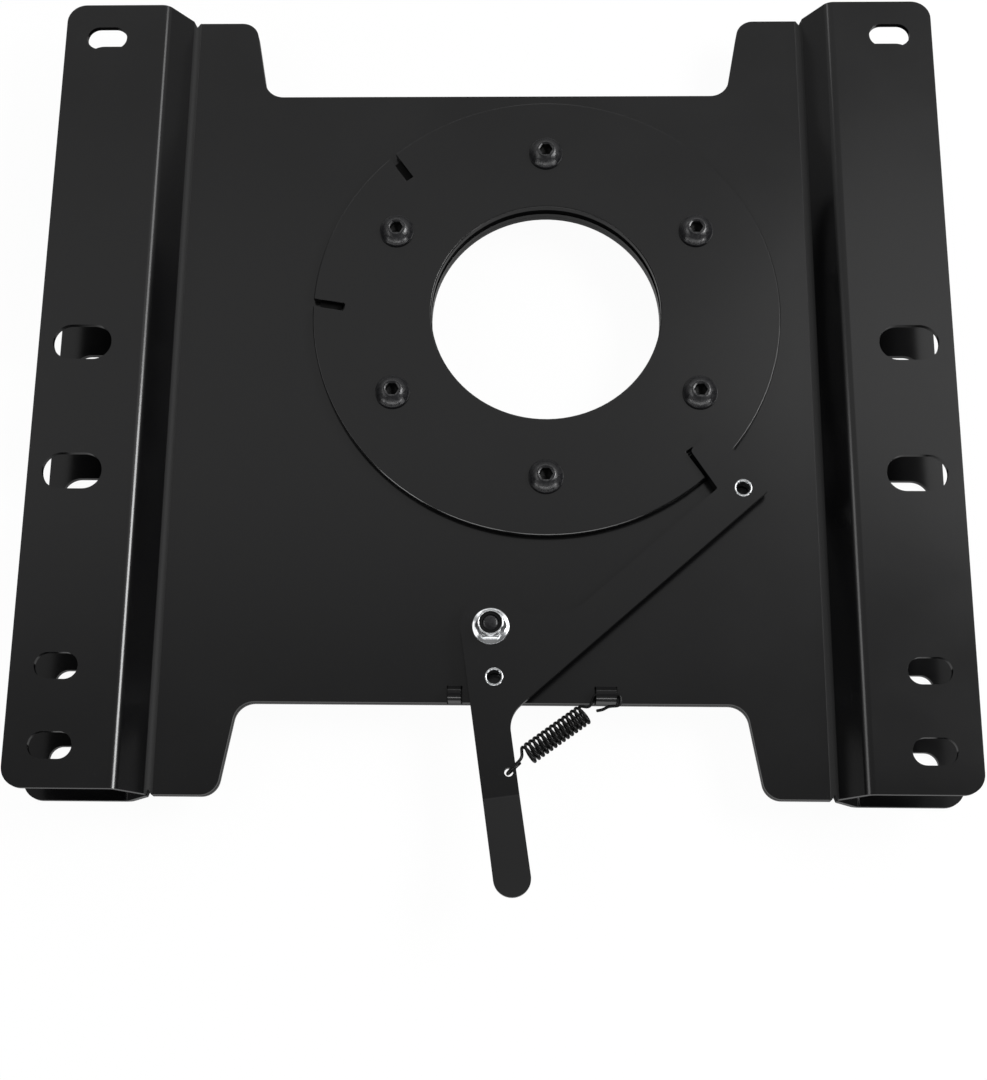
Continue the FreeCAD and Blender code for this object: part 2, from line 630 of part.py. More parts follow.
def return_spring():
    """Extension spring from the handle's hole to the anchor tab: hook, coil and hook in one wire."""
    lever_middle = LEVER_UNDER + LEVER_THICKNESS / 2
    tab_middle = UPPER_MIDDLE_TOP + SPRING_EYE_HEIGHT
    start = Vector(SPRING_START[0], SPRING_START[1], lever_middle)
    end = Vector(SPRING_END[0], SPRING_END[1], tab_middle)
    axis = end - start
    turned = FreeCAD.Rotation(UP, axis)
    coil = []
    count = SPRING_COILS * SPRING_STEPS
    for i in range(count + 1):
        angle = 2 * math.pi * i / SPRING_STEPS
        spoke = Vector(SPRING_COIL_RADIUS * math.cos(angle), SPRING_COIL_RADIUS * math.sin(angle), 0)
        coil.append(start + turned.multVec(spoke) + axis * (i / count))
    hole = Vector(SPRING_HOLE[0], SPRING_HOLE[1], 0)
    over = LEVER_TOP + SPRING_WIRE_RADIUS + SPRING_LIFT
    under = LEVER_UNDER - SPRING_WIRE_RADIUS - SPRING_LIFT
    back = (Vector(start.x, start.y, 0) - hole).normalize()
    foot = start - axis.normalize() * SPRING_HOOK_FOOT
    handle_hook = [
        hole + back * SPRING_HOOK_RETURN + UP * under,
        hole - back * SPRING_HOOK_SHIFT + UP * under,
        hole - back * SPRING_HOOK_SHIFT + UP * over,
        Vector(foot.x, foot.y, over),
    ]
    corner = Vector(ANCHOR_TAB_X - ANCHOR_TAB_WIDTH / 2, -MIDDLE_DEPTH / 2, tab_middle)
    anchor_hook = [corner + Vector(x, y, 0) for x, y in ANCHOR_HOOK_ROUTE]
    return faceted_wire(handle_hook + coil + anchor_hook, SPRING_WIRE_RADIUS)


def save(name, shape):
    if shape.ShapeType == "Compound" and len(shape.Solids) == 1:
        shape = shape.Solids[0]
    if shape.Volume < 0:
        shape.reverse()
    shape.exportStep("parts/" + name + ".step")
    print(name, shape.ShapeType, len(shape.Solids), shape.isValid(), round(shape.Volume, 1))


def main():
    os.makedirs("parts", exist_ok=True)
    save("lower_plate", lower_plate())
    backing = hub_ring(CABLE_HOLE_RADIUS, BACKING_OUTER_RADIUS, BACKING_UNDER, LOWER_MIDDLE_UNDER)
    save("backing_ring", backing)
    save("spacer_ring", hub_ring(SPACER_INNER_RADIUS, SPACER_OUTER_RADIUS, LOWER_MIDDLE_TOP, DISC_UNDER))
    glide = OPENING_RADIUS + RUNNING_CLEARANCE
    save("lower_glide_ring", ring_solid(SWIVEL_X, SWIVEL_Y, glide, glide + GLIDE_WIDTH,
                                        LOWER_MIDDLE_TOP, LOWER_MIDDLE_TOP + LOWER_GLIDE_THICKNESS))
    save("upper_glide_ring", ring_solid(SWIVEL_X, SWIVEL_Y, glide, glide + GLIDE_WIDTH,
                                        UPPER_MIDDLE_TOP, UPPER_MIDDLE_TOP + UPPER_GLIDE_THICKNESS))
    save("lock_disc", lock_disc())
    for number, (x, y) in enumerate(screw_places(), 1):
        save("disc_screw_%d" % number, button_screw(x, y))
        save("disc_nut_%d" % number, disc_nut(x, y))
    save("upper_plate", upper_plate())
    save("pivot_stud", pivot_stud())
    save("pivot_bush", pivot_bush())
    save("pivot_nut", pivot_nut())
    save("lock_lever", lock_lever())
    for number, (x, y) in enumerate(RIVET_PLACES, 1):
        save("lever_pad_%d" % number, lever_pad(x, y))
        save("lever_rivet_%d" % number, lever_rivet(x, y))
    save("return_spring", return_spring())


main()
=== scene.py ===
# %% [markdown]
# # A swivel seat base
# Two pressed steel plates stand between a vehicle's floor and its seat. A ring of six screws holds
# them together through a large disc, the upper plate turns round that ring, and a sprung lever
# locks the turn. The measured solids are loaded first and stay where they are. Everything below
# dresses them: finishes, softened edges, and finer stand-ins for the small turned and coiled
# pieces.

# %% Load the measured frame
import math

import bmesh
import bpy
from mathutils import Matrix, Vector


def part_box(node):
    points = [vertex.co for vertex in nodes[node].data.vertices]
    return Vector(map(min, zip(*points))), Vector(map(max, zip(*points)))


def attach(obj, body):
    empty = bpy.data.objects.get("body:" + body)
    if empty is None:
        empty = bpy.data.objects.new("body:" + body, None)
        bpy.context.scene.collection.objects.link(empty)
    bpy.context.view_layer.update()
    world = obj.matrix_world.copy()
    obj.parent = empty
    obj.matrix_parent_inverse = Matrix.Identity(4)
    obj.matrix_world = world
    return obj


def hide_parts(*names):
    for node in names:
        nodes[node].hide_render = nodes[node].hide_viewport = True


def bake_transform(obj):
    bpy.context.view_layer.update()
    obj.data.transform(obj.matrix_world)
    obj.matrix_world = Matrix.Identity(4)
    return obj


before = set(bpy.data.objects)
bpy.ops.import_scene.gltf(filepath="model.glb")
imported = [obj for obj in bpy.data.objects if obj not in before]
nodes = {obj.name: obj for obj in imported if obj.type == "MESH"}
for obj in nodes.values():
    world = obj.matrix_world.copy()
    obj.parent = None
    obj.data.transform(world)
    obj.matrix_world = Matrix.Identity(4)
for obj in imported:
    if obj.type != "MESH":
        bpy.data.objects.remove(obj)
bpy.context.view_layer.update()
MM = 0.001

# %% [markdown]
# The camera stands where the photograph was taken from: almost overhead and a little towards the
# handle. Its place, turn and lens come from matching known points of the part with the picture. A
# lens shift gives the same framing without turning the camera, so upright edges keep their slight
# spread.

# %% Camera
CAMERA_PLACE = Vector((16.50, -333.11, 884.88)) * MM
CAMERA_TURN = (17.45234, 1.55513, 0.69524)
LENS = 60.66
SENSOR_WIDTH = 36.0
LENS_SHIFT = (0.02005, -0.03457)
NEAREST_SEEN = 0.01

camera_data = bpy.data.cameras.new("camera")
camera_data.lens = LENS
camera_data.sensor_width = SENSOR_WIDTH
camera_data.shift_x, camera_data.shift_y = LENS_SHIFT
camera_data.clip_start = NEAREST_SEEN
camera = bpy.data.objects.new("camera", camera_data)
bpy.context.scene.collection.objects.link(camera)
camera.location = CAMERA_PLACE
camera.rotation_euler = [math.radians(turn) for turn in CAMERA_TURN]
bpy.context.scene.camera = camera
print("camera at", [round(v, 3) for v in camera.location], "lens", LENS)

# %% [markdown]
# A black part shows little colour of its own. What is seen is mostly what it mirrors, so the world
# round it matters as much as the lights. The flat faces mirror the world over and behind the part.
# Its grey there goes by a direction's lean, which is its way back over its way up: dark straight
# above, where a camera and its stand would be, and light behind. The steep walls along the folds
# mirror the world low at both sides, which is darker. A picture of a studio could be wrapped round
# the part instead, but a few named greys are easier to read and to change.

# %% Node helpers and the world
SKY_BY_LEAN = (
    (-1.0, 0.32), (-0.3, 0.18), (0.10, 0.17), (0.17, 0.29), (0.21, 0.34), (0.26, 0.47),
    (0.32, 0.60), (0.36, 0.62), (0.48, 0.62), (0.53, 0.52), (0.60, 0.47), (1.0, 0.50),
)
LEAN_LIMITS = (-1.0, 1.0)
LOW_SIDE_SHARE = 0.15
SIDE_OVER_UP = (2.0, 4.0)
BACK_OVER_SIDE = (0.46, 0.53)
LEAST_UP, LEAST_SIDE = 0.05, 0.01


def put(tree, socket, value):
    """Sets a node's socket to a number, or links another node's output to it."""
    if isinstance(value, (int, float)):
        socket.default_value = value
    else:
        tree.links.new(value, socket)


def maths(tree, operation, *values):
    """A Math node's output. Each value is a number or an output to link."""
    node = tree.nodes.new("ShaderNodeMath")
    node.operation = operation
    for socket, value in zip(node.inputs, values):
        put(tree, socket, value)
    return node.outputs[0]


def mapped(tree, value, old, new, way="LINEAR"):
    """A value mapped from one range to another. With SMOOTHSTEP the map has soft ends."""
    node = tree.nodes.new("ShaderNodeMapRange")
    node.interpolation_type = way
    for name, limit in zip(("From Min", "From Max", "To Min", "To Max"), (*old, *new)):
        put(tree, node.inputs[name], limit)
    put(tree, node.inputs["Value"], value)
    return node.outputs["Result"]


def shade_world(tree):
    """Greys by a direction's lean, and a darker share of them low at both sides."""
    background = tree.nodes["Background"]
    way = tree.nodes.new("ShaderNodeTexCoord")
    parts = tree.nodes.new("ShaderNodeSeparateXYZ")
    put(tree, parts.inputs["Vector"], way.outputs["Generated"])
    back = parts.outputs["Y"]
    up = maths(tree, "MAXIMUM", parts.outputs["Z"], LEAST_UP)
    lean = maths(tree, "DIVIDE", back, up)
    greys = tree.nodes.new("ShaderNodeValToRGB")
    stops = greys.color_ramp.elements
    while len(stops) < len(SKY_BY_LEAN):
        stops.new(0.5)
    for stop, (place, grey) in zip(stops, SKY_BY_LEAN):
        stop.position = (place + 1) / 2
        stop.color = (grey, grey, grey, 1)
    put(tree, greys.inputs["Fac"], mapped(tree, lean, LEAN_LIMITS, (0.0, 1.0)))
    side = maths(tree, "MAXIMUM", maths(tree, "ABSOLUTE", parts.outputs["X"]), LEAST_SIDE)
    low = mapped(tree, maths(tree, "DIVIDE", side, up),
                 SIDE_OVER_UP, (1.0, LOW_SIDE_SHARE), "SMOOTHSTEP")
    behind = mapped(tree, maths(tree, "DIVIDE", back, side),
                    BACK_OVER_SIDE, (LOW_SIDE_SHARE, 1.0), "SMOOTHSTEP")
    put(tree, background.inputs["Color"], greys.outputs["Color"])
    put(tree, background.inputs["Strength"], maths(tree, "MAXIMUM", low, behind))


bpy.context.scene.view_settings.view_transform = "Standard"
world = bpy.data.worlds.new("studio")
world.use_nodes = True
bpy.context.scene.world = world
shade_world(world.node_tree)
print("world:", len(SKY_BY_LEAN), "greys from front to back")

# %% [markdown]
# The lights are nine large soft panels, as in a photographer's studio: at the right, left and back
# for the bright lines along the folds, low in front for the cut edges and the rim of the disc, and
# a faint one overhead for the sheen on the right. A lamp without size would give hard shadows and
# pinpoint lights in the coat.

# %% Lights
# Each row: name, place, aim point, width and height in metres, watts.
PANELS = (
    ("right_panel", (1.05, 0.22, 1.124), (0.1, 0.22, 0.1), 0.75, 0.50, 18.5),
    ("right_back_panel", (0.98, 0.90, 1.10), (0.1, 0.90, 0), 0.60, 0.50, 3.6),
    ("left_panel", (-1.05, 0.0, 1.05), (-0.1, 0, 0), 1.1, 0.50, 3.8),
    ("front_panel", (0.0, -1.40, 0.44), (0, 0, 0), 2.0, 0.36, 9.0),
    ("front_left_panel", (-1.20, -1.00, 0.34), (0, 0, 0), 0.5, 0.34, 2.8),
    ("front_right_panel", (1.20, -1.00, 0.34), (0, 0, 0), 0.5, 0.34, 5.0),
    ("back_panel", (0.0, 1.40, 1.05), (0, 0, 0), 1.3, 0.35, 3.0),
    ("back_left_panel", (-0.90, 1.30, 0.85), (0, 0, 0), 0.6, 0.40, 1.6),
    ("top_right_panel", (0.64, 0.62, 1.60), (0.2, 0.0, 0), 0.66, 0.46, 0.44),
)


def soft_panel(name, place, aim, width, height, watts):
    """A rectangular soft light at a place in metres, turned towards an aim point."""
    light = bpy.data.lights.new(name, "AREA")
    light.shape = "RECTANGLE"
    light.size, light.size_y = width, height
    light.energy = watts
    panel = bpy.data.objects.new(name, light)
    bpy.context.scene.collection.objects.link(panel)
    panel.location = place
    panel.rotation_euler = (Vector(aim) - Vector(place)).to_track_quat("-Z", "Y").to_euler()


for panel in PANELS:
    soft_panel(*panel)
print("lights:", len(PANELS))

# %% [markdown]
# The floor is a plain sheet of white card. Straight to the camera it shows almost full white, as an
# overlit background does, and it keeps a little of the part's shadow. In reflections it is a plain
# grey, because the card that a low part mirrors lies in that part's own shade. Lighting the card
# until it is white would wash out the black coat too.

# %% Floor
FLOOR_SIZE = 14.0
FLOOR_DROP = 0.02 * MM
FLOOR_WHITE = 0.86
OVERLIT_SHARE = 0.96
MIRRORED_GREY = 0.28


def white_card():
    """A white card: overlit to the camera, grey in reflections, and plain card as a light."""
    material = bpy.data.materials.new("white_card")
    material.use_nodes = True
    tree = material.node_tree
    tree.nodes.clear()
    output = tree.nodes.new("ShaderNodeOutputMaterial")
    mix = tree.nodes.new("ShaderNodeMixShader")
    card = tree.nodes.new("ShaderNodeBsdfDiffuse")
    card.inputs["Color"].default_value = (FLOOR_WHITE, FLOOR_WHITE, FLOOR_WHITE, 1)
    glow = tree.nodes.new("ShaderNodeEmission")
    path = tree.nodes.new("ShaderNodeLightPath").outputs
    seen = maths(tree, "MULTIPLY", path["Is Camera Ray"], OVERLIT_SHARE)
    put(tree, mix.inputs["Fac"], maths(tree, "MAXIMUM", seen, path["Is Glossy Ray"]))
    strength = maths(tree, "MULTIPLY_ADD", path["Is Glossy Ray"], MIRRORED_GREY - 1.0, 1.0)
    put(tree, glow.inputs["Strength"], strength)
    put(tree, mix.inputs[1], card.outputs["BSDF"])
    put(tree, mix.inputs[2], glow.outputs["Emission"])
    put(tree, output.inputs["Surface"], mix.outputs["Shader"])
    return material


half = FLOOR_SIZE / 2
corners = [(-half, -half, 0), (half, -half, 0), (half, half, 0), (-half, half, 0)]
floor_mesh = bpy.data.meshes.new("floor")
floor_mesh.from_pydata(corners, [], [(0, 1, 2, 3)])
floor_mesh.materials.append(white_card())
floor = bpy.data.objects.new("floor", floor_mesh)
bpy.context.scene.collection.objects.link(floor)
floor.location.z = -FLOOR_DROP
print("floor", FLOOR_SIZE, "m across")

# %% [markdown]
# ## Finishes
# Powder coat is a baked plastic skin. Close up it has a soft ripple, called orange peel, and its
# gloss wanders a little. Both come from one node group, so that every finish shares the same skin
# and only the numbers differ. The group gives a height for a bump node and a roughness. A picture
# of the finish could be wrapped round the part instead, but procedural noise has no seams and no
# fixed size.

# %% The skin group: ripple and wandering gloss
RIPPLE_DETAIL, GLOSS_DETAIL = 2.0, 4.0
GLOSS_SPREAD = (0.3, 0.7)


def add_input(group, name, value, share=False):
    """A named input: a number, or a colour where the value is a tuple. A share stays in 0 to 1."""
    kind = "NodeSocketColor" if isinstance(value, tuple) else "NodeSocketFloat"
    socket = group.interface.new_socket(name=name, in_out="INPUT", socket_type=kind)
    socket.default_value = value
    if share:
        socket.min_value, socket.max_value = 0, 1


def add_output(group, name, kind="NodeSocketFloat"):
    """A named output."""
    group.interface.new_socket(name=name, in_out="OUTPUT", socket_type=kind)


def noise(tree, place, scale, detail):
    """A Noise node's value at a place. The scale is a number or an output."""
    node = tree.nodes.new("ShaderNodeTexNoise")
    put(tree, node.inputs["Vector"], place)
    put(tree, node.inputs["Scale"], scale)
    put(tree, node.inputs["Detail"], detail)
    return node.outputs["Fac"]


def skin_group():
    """Ripple height and roughness for a coated or plated surface."""
    group = bpy.data.node_groups.new("skin", "ShaderNodeTree")
    add_input(group, "Ripple Scale", 700.0)
    add_input(group, "Gloss Scale", 18.0)
    add_input(group, "Roughness Low", 0.3, share=True)
    add_input(group, "Roughness High", 0.4, share=True)
    add_output(group, "Height")
    add_output(group, "Roughness")
    given = group.nodes.new("NodeGroupInput").outputs
    result = group.nodes.new("NodeGroupOutput").inputs
    place = group.nodes.new("ShaderNodeTexCoord").outputs["Object"]
    ripple = noise(group, place, given["Ripple Scale"], RIPPLE_DETAIL)
    gloss = noise(group, place, given["Gloss Scale"], GLOSS_DETAIL)
    limits = (given["Roughness Low"], given["Roughness High"])
    put(group, result["Height"], ripple)
    put(group, result["Roughness"], mapped(group, gloss, GLOSS_SPREAD, limits))
    return group


SKIN = skin_group()
print("group:", SKIN.name, "sockets:", [item.name for item in SKIN.interface.items_tree])

# %% [markdown]
# A part that has been handled and laid on card picks up a few pale specks and a very thin haze. The
# second group mixes them over any colour. It is kept faint: the part is new.

# %% The dust group: haze and specks
HAZE_SCALE, HAZE_DETAIL = 9.0, 5.0
SPECK_SCALE = 260.0
SPECK_EDGE = (0.075, 0.045)


def dust_group():
    """Base colour with a thin haze and a few specks, mostly on faces that look up."""
    group = bpy.data.node_groups.new("dust", "ShaderNodeTree")
    add_input(group, "Color", (0.01, 0.01, 0.01, 1))
    add_input(group, "Dust Color", (0.32, 0.32, 0.31, 1))
    add_input(group, "Haze", 0.01, share=True)
    add_input(group, "Specks", 0.2, share=True)
    add_output(group, "Color", "NodeSocketColor")
    given = group.nodes.new("NodeGroupInput").outputs
    result = group.nodes.new("NodeGroupOutput").inputs
    place = group.nodes.new("ShaderNodeTexCoord").outputs
    cloud = noise(group, place["Object"], HAZE_SCALE, HAZE_DETAIL)
    haze = maths(group, "MULTIPLY", cloud, given["Haze"])
    cells = group.nodes.new("ShaderNodeTexVoronoi")
    put(group, cells.inputs["Vector"], place["Object"])
    put(group, cells.inputs["Scale"], SPECK_SCALE)
    near = mapped(group, cells.outputs["Distance"], SPECK_EDGE, (0.0, 1.0))
    specks = maths(group, "MULTIPLY", near, given["Specks"])
    normal = group.nodes.new("ShaderNodeSeparateXYZ")
    put(group, normal.inputs["Vector"], place["Normal"])
    up = maths(group, "MAXIMUM", normal.outputs["Z"], 0.0)
    laid = maths(group, "MULTIPLY", maths(group, "ADD", haze, specks), up)
    laid.node.use_clamp = True
    mix = group.nodes.new("ShaderNodeMix")
    mix.data_type = "RGBA"
    put(group, mix.inputs["Factor"], laid)
    put(group, mix.inputs["A"], given["Color"])
    put(group, mix.inputs["B"], given["Dust Color"])
    put(group, result["Color"], mix.outputs["Result"])
    return group


DUST = dust_group()
print("group:", DUST.name, "sockets:", [item.name for item in DUST.interface.items_tree])

# %% [markdown]
# Powder lies thicker in an inner corner and comes out duller there. The third group marks the inner
# corner at the foot of each fold by its distance from the part's middle line.

# %% The foot group: where the coat is dull


def foot_group():
    """Mask of a strip on each side of the middle line: 1 in it, 0 elsewhere. In metres."""
    group = bpy.data.node_groups.new("fold_foot", "ShaderNodeTree")
    add_input(group, "Place", 0.1617)
    add_input(group, "Inner Half", 0.0014)
    add_input(group, "Outer Half", 0.0020)
    add_output(group, "Mask")
    given = group.nodes.new("NodeGroupInput").outputs
    result = group.nodes.new("NodeGroupOutput").inputs
    parts = group.nodes.new("ShaderNodeSeparateXYZ")
    put(group, parts.inputs["Vector"], group.nodes.new("ShaderNodeTexCoord").outputs["Object"])
    across = maths(group, "ABSOLUTE", parts.outputs["X"])
    off = maths(group, "ABSOLUTE", maths(group, "SUBTRACT", across, given["Place"]))
    halves = (given["Inner Half"], given["Outer Half"])
    put(group, result["Mask"], mapped(group, off, halves, (1.0, 0.0)))
    return group


FOOT = foot_group()
print("group:", FOOT.name, "sockets:", [item.name for item in FOOT.interface.items_tree])

# %% [markdown]
# Each finish is one Principled shader. Roughness and the small bumps come from the skin group. The
# colour is set on the shader itself, and goes through the dust group only where there is dust. Zinc
# plate is a bright metal, oxide and oil leave steel nearly black, and nylon is matt. The socket
# finish is painted shade: a near black with little shine that darkens the inside of each screw's
# socket, where shade falls.

# %% Finishes from the groups
COAT_COLOR = (0.0018, 0.0018, 0.0020)


def placed(tree, group, values):
    """The outputs of a group placed in a material with its own values."""
    node = tree.nodes.new("ShaderNodeGroup")
    node.node_tree = group
    for name, value in values.items():
        node.inputs[name].default_value = value
    return node.outputs


def finish(name, color, metallic, roughness, ripple_scale, ripple_height, gloss_scale, shine=0.5):
    """A material with the shared skin. The ripple's height is in mm."""
    material = bpy.data.materials.new(name)
    material.use_nodes = True
    tree = material.node_tree
    shader = tree.nodes["Principled BSDF"].inputs
    shader["Base Color"].default_value = (*color, 1)
    shader["Metallic"].default_value = metallic
    shader["Specular IOR Level"].default_value = shine
    skin = placed(tree, SKIN, {"Ripple Scale": ripple_scale, "Gloss Scale": gloss_scale,
                               "Roughness Low": roughness[0], "Roughness High": roughness[1]})
    bump = tree.nodes.new("ShaderNodeBump")
    bump.inputs["Distance"].default_value = ripple_height * MM
    bump.inputs["Strength"].default_value = 1.0
    put(tree, bump.inputs["Height"], skin["Height"])
    put(tree, shader["Normal"], bump.outputs["Normal"])
    put(tree, shader["Roughness"], skin["Roughness"])
    return material


def lay_dust(material, color, haze, specks):
    """Lays a haze and specks over a material's colour."""
    tree = material.node_tree
    dust = placed(tree, DUST, {"Color": (*color, 1), "Haze": haze, "Specks": specks})
    put(tree, tree.nodes["Principled BSDF"].inputs["Base Color"], dust["Color"])


def dull_foot(material, foot_roughness):
    """Roughens the coat in the inner corner at the foot of each fold."""
    tree = material.node_tree
    mask = placed(tree, FOOT, {})["Mask"]
    gloss = tree.nodes["Principled BSDF"].inputs["Roughness"]
    skin_roughness = gloss.links[0].from_socket
    rise = maths(tree, "SUBTRACT", foot_roughness, skin_roughness)
    put(tree, gloss, maths(tree, "MULTIPLY_ADD", mask, rise, skin_roughness))


BLACK_COAT = finish("black_powder_coat", COAT_COLOR, metallic=0.0, roughness=(0.14, 0.20),
                    ripple_scale=900.0, ripple_height=0.005, gloss_scale=18.0)
lay_dust(BLACK_COAT, COAT_COLOR, haze=0.003, specks=0.03)
dull_foot(BLACK_COAT, foot_roughness=0.75)
BLACK_OXIDE = finish("black_oxide_steel", (0.008, 0.008, 0.009), metallic=0.1,
                     roughness=(0.16, 0.42), ripple_scale=1500.0, ripple_height=0.05,
                     gloss_scale=700.0)
ZINC = finish("bright_zinc_plate", (0.58, 0.59, 0.60), metallic=1.0, roughness=(0.14, 0.26),
              ripple_scale=1500.0, ripple_height=0.006, gloss_scale=220.0)
SPRING_BLACK = finish("oiled_spring_wire", (0.004, 0.004, 0.004), metallic=0.0,
                      roughness=(0.18, 0.28), ripple_scale=2600.0, ripple_height=0.01,
                      gloss_scale=400.0, shine=0.18)
# Painted shade: a dull near black for the inside of the screws' sockets, where shade falls.
SOCKET_SHADE = finish("painted_socket_shade", (0.002, 0.002, 0.002), metallic=0.0, roughness=(0.5, 0.6),
                      ripple_scale=1500.0, ripple_height=0.01, gloss_scale=400.0, shine=0.12)
DARK_NYLON = finish("dark_nylon", (0.004, 0.004, 0.004), metallic=0.0, roughness=(0.58, 0.68),
                    ripple_scale=1400.0, ripple_height=0.008, gloss_scale=60.0, shine=0.12)
BUSH_STEEL = finish("dull_steel_bush", (0.42, 0.41, 0.39), metallic=1.0, roughness=(0.34, 0.46),
                    ripple_scale=1600.0, ripple_height=0.008, gloss_scale=120.0)
print("finishes:", [m.name for m in bpy.data.materials])

# %% [markdown]
# ## Dressing the solids
# A cut and coated steel edge is never knife sharp: the coating rounds it, and that round catches a
# thin line of light. The solids keep their own meshes, so the rounding is a bevel modifier. Weld
# and planar decimate come first, because the bevel needs joined faces without the triangles of the
# file format.

# %% Softened edges
WELD_GAP = 0.004
FLAT_ANGLE = 0.4
EDGE_SEGMENTS, EDGE_ANGLE = 3, 38.0
LARGE_FACES_FIRST = 100
# Each row: node, finish, width of the rounding in mm.
DRESSED = (
    ("upper_plate", BLACK_COAT, 0.35),
    ("lower_plate", BLACK_COAT, 0.35),
    ("lock_disc", BLACK_COAT, 0.28),
    ("lock_lever", BLACK_COAT, 0.28),
    ("spacer_ring", BLACK_COAT, 0.3),
    ("backing_ring", BLACK_COAT, 0.4),
    ("lower_glide_ring", DARK_NYLON, 0.1),
    ("upper_glide_ring", DARK_NYLON, 0.1),
    ("lever_pad_1", DARK_NYLON, 0.25),
    ("lever_pad_2", DARK_NYLON, 0.25),
    ("pivot_bush", BUSH_STEEL, 0.15),
)


def soften(name, material, width):
    """Gives a measured node its finish and rounds its sharp edges."""
    node = nodes[name]
    node.data.materials.clear()
    node.data.materials.append(material)
    for polygon in node.data.polygons:
        polygon.material_index = 0
        polygon.use_smooth = True
    weld = node.modifiers.new("weld", "WELD")
    weld.merge_threshold = WELD_GAP * MM
    planes = node.modifiers.new("planes", "DECIMATE")
    planes.decimate_type = "DISSOLVE"
    planes.angle_limit = math.radians(FLAT_ANGLE)
    bevel = node.modifiers.new("coated_edge", "BEVEL")
    bevel.width = width * MM
    bevel.segments = EDGE_SEGMENTS
    bevel.limit_method = "ANGLE"
    bevel.angle_limit = math.radians(EDGE_ANGLE)
    bevel.use_clamp_overlap = True
    bevel.harden_normals = False
    shade = node.modifiers.new("shade", "WEIGHTED_NORMAL")
    shade.keep_sharp = False
    shade.weight = LARGE_FACES_FIRST


for name, material, width in DRESSED:
    soften(name, material, width)
print("dressed:", [node.name for node in nodes.values() if node.modifiers])

# %% [markdown]
# ## Turned pieces
# Screws, nuts, rivets and the stud are turned parts, so their outline is a radius at each height.
# One helper lays rings of points at those radii and joins them. A ring may also be a hexagon, which
# is the same ring with a radius that changes with the angle, so a nut's flats and its turned
# chamfer come from one rule: take the smaller radius of the two. Modelling the hexagon with
# booleans would work too, but leaves long thin faces that shade badly.

# %% Rings of points and the lathe
RING_STEPS = 72
CRISP_WIDTH, CRISP_SEGMENTS, CRISP_ANGLE = 0.08, 2, 32.0


def join_rings(shape, first, second):
    """Faces between two rings of as many points."""
    for step, point in enumerate(first):
        after = (step + 1) % len(first)
        shape.faces.new((point, first[after], second[after], second[step]))


def close_ring(shape, ring, tip):
    """Faces from a ring to a point at its middle."""
    for step, point in enumerate(ring):
        shape.faces.new((point, ring[(step + 1) % len(ring)], tip))


def new_piece(name, shape, material):
    """A smooth object in one material from joined faces."""
    bmesh.ops.recalc_face_normals(shape, faces=shape.faces)
    mesh = bpy.data.meshes.new(name)
    shape.to_mesh(mesh)
    shape.free()
    mesh.materials.append(material)
    mesh.shade_smooth()
    piece = bpy.data.objects.new(name, mesh)
    bpy.context.scene.collection.objects.link(piece)
    return piece


def crisp(piece):
    """Rounds a new piece's sharp edges a little, so that they catch light."""
    bevel = piece.modifiers.new("edge", "BEVEL")
    bevel.width = CRISP_WIDTH * MM
    bevel.segments = CRISP_SEGMENTS
    bevel.limit_method = "ANGLE"
    bevel.angle_limit = math.radians(CRISP_ANGLE)
    shade = piece.modifiers.new("shade", "WEIGHTED_NORMAL")
    shade.weight = LARGE_FACES_FIRST


def lathe(name, outline, place, material, body, stands_for=None, hollow=False):
    """A turned piece from an outline of heights and radii in mm, on an axis at a place in metres.

    A radius is a number or a rule by angle. A hollow piece's outline ends where it starts.
    """
    shape = bmesh.new()
    rings = []
    for height, radius in outline:
        ring = []
        for step in range(RING_STEPS):
            angle = 2 * math.pi * step / RING_STEPS
            r = radius(angle) if callable(radius) else radius
            point = Vector((r * math.cos(angle), r * math.sin(angle), height)) * MM
            ring.append(shape.verts.new(point + Vector((place.x, place.y, 0))))
        rings.append(ring)
    for first, second in zip(rings, rings[1:]):
        join_rings(shape, first, second)
    if hollow:
        join_rings(shape, rings[-1], rings[0])
    else:
        for ring in (rings[0], rings[-1]):
            middle = sum((v.co for v in ring), Vector()) / RING_STEPS
            close_ring(shape, ring, shape.verts.new(middle))
    piece = new_piece(name, shape, material)
    crisp(piece)
    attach(piece, body)
    if stands_for:
        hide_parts(stands_for)
    return piece


print("lathe:", RING_STEPS, "points in a ring")

# %% [markdown]
# The outlines share a few forms: a hexagon, an arc and a screw thread. A thread is a ridge that
# climbs by one pitch in each turn, so its radius goes by height and angle together.

# %% Forms of an outline
THREAD_RINGS = 8
THREAD_START = 0.15


def hexagon_radius(across, angle):
    """Distance from the centre to a hexagon's side in a direction."""
    sixth = math.pi / 3
    return across / 2 / math.cos((angle % sixth) - sixth / 2)


def hexagon(across, least=0.0, most=math.inf):
    """A radius rule: a hexagon that is nowhere inside the least radius or outside the most."""
    return lambda angle: min(most, max(least, hexagon_radius(across, angle)))


def arc_rings(centre_r, centre_z, radius, start, end, steps):
    """Rings along a circular arc of the outline, angles in degrees from straight out."""
    rings = []
    for step in range(steps + 1):
        turn = math.radians(start + (end - start) * step / steps)
        rings.append((centre_z + radius * math.sin(turn), centre_r + radius * math.cos(turn)))
    return rings


def ridge(height, major, pitch, depth):
    """A radius rule: a ring of a thread at a height."""
    def radius(angle):
        phase = (height / pitch - angle / (2 * math.pi)) % 1.0
        return major - depth * abs(2 * phase - 1)
    return radius


def thread_rings(low, high, major, pitch, depth):
    """Rings of a screw thread, fading out at both ends."""
    rings = []
    count = max(2, round((high - low) / pitch * THREAD_RINGS))
    for step in range(count + 1):
        height = low + (high - low) * step / count
        fade = min(1.0, 2 * min(height - low, high - height) / pitch + THREAD_START)
        rings.append((height, ridge(height, major, pitch, depth * fade)))
    return rings


def plan_centre(name):
    """The middle of a measured node, in metres."""
    low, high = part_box(name)
    return (low + high) / 2


